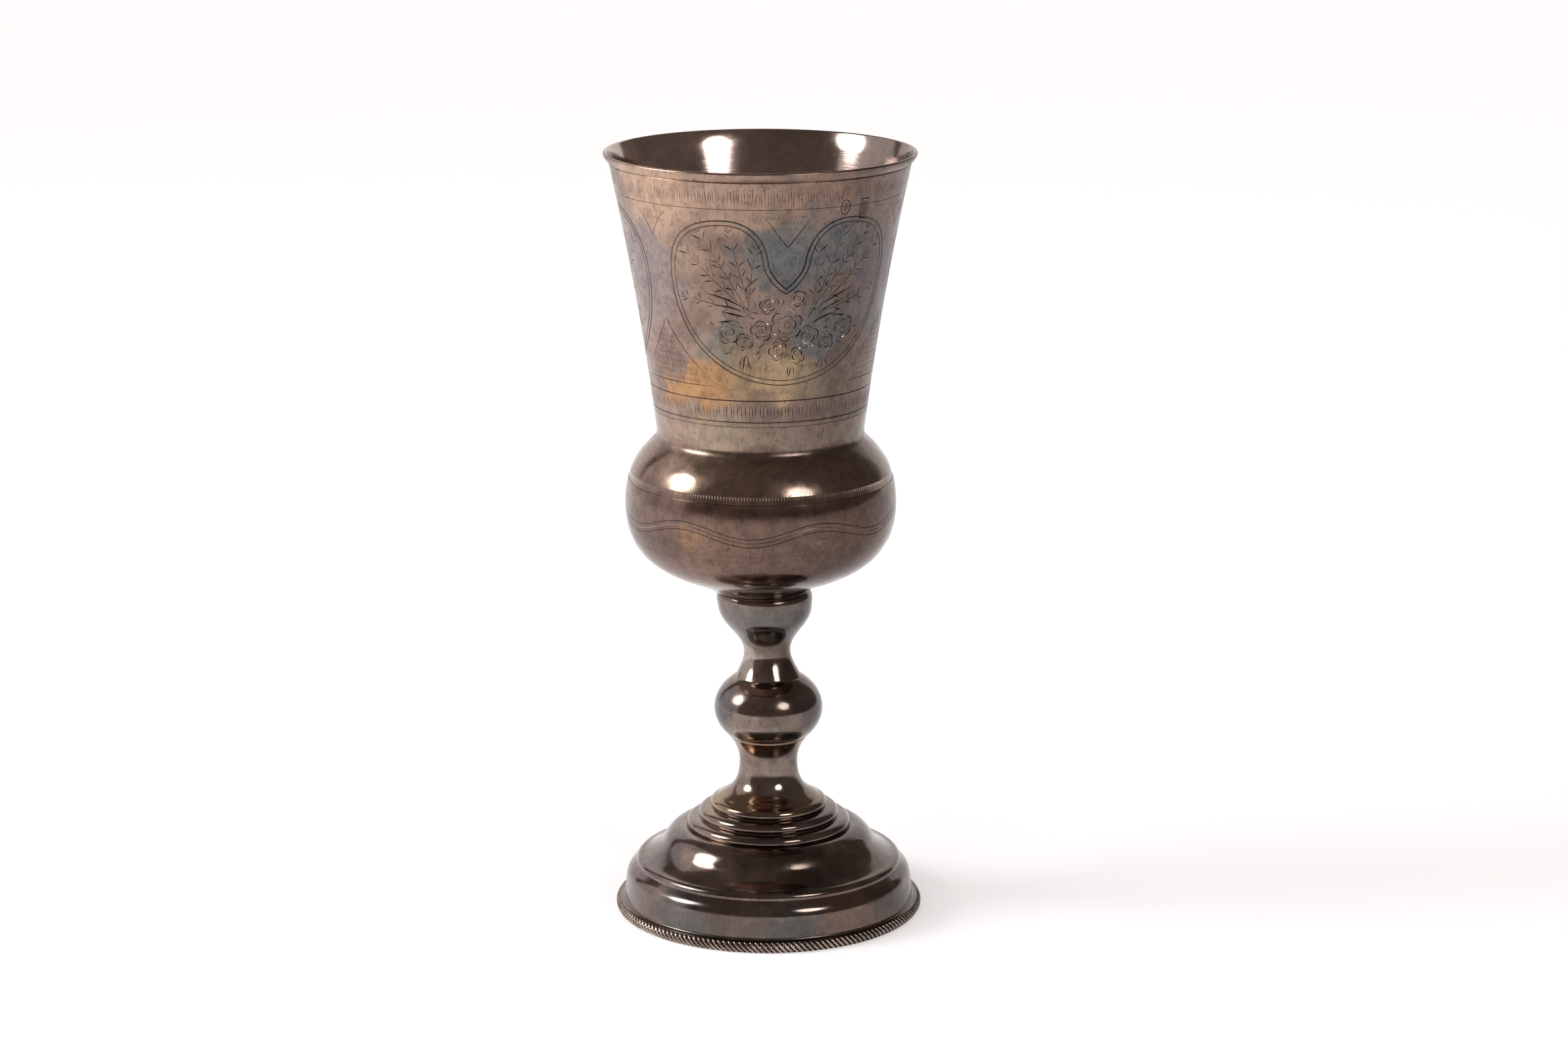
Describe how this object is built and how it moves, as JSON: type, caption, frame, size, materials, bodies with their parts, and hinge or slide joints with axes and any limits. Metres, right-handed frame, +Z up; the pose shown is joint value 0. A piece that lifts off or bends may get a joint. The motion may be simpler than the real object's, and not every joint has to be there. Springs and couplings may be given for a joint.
{
  "type": "silver chalice",
  "caption": "Stemmed silver drinking cup: flared engraved beaker on a round bulb, baluster stem with ball knop, stepped domed foot edged with milled wire.",
  "frame": {"origin": "centre of the bounding box at the table surface under the foot", "axes": "+Z up along the stem, -Y towards the viewer of the picture, +X to that viewer's right"},
  "size_m": [0.0595, 0.0584, 0.145],
  "materials": {
    "engraved_silver": "tarnished silver, engraved, warm grey-brown with bluish and golden patches",
    "polished_silver": "polished silver with a warm grey-brown tarnish",
    "milled_silver": "tarnished silver with fine slanted notches"
  },
  "bodies": {
    "root": {"bowl": "engraved_silver", "upper_stem": "polished_silver", "knop": "polished_silver", "foot": "polished_silver", "foot_wire": "milled_silver"}
  },
  "joints": []
}
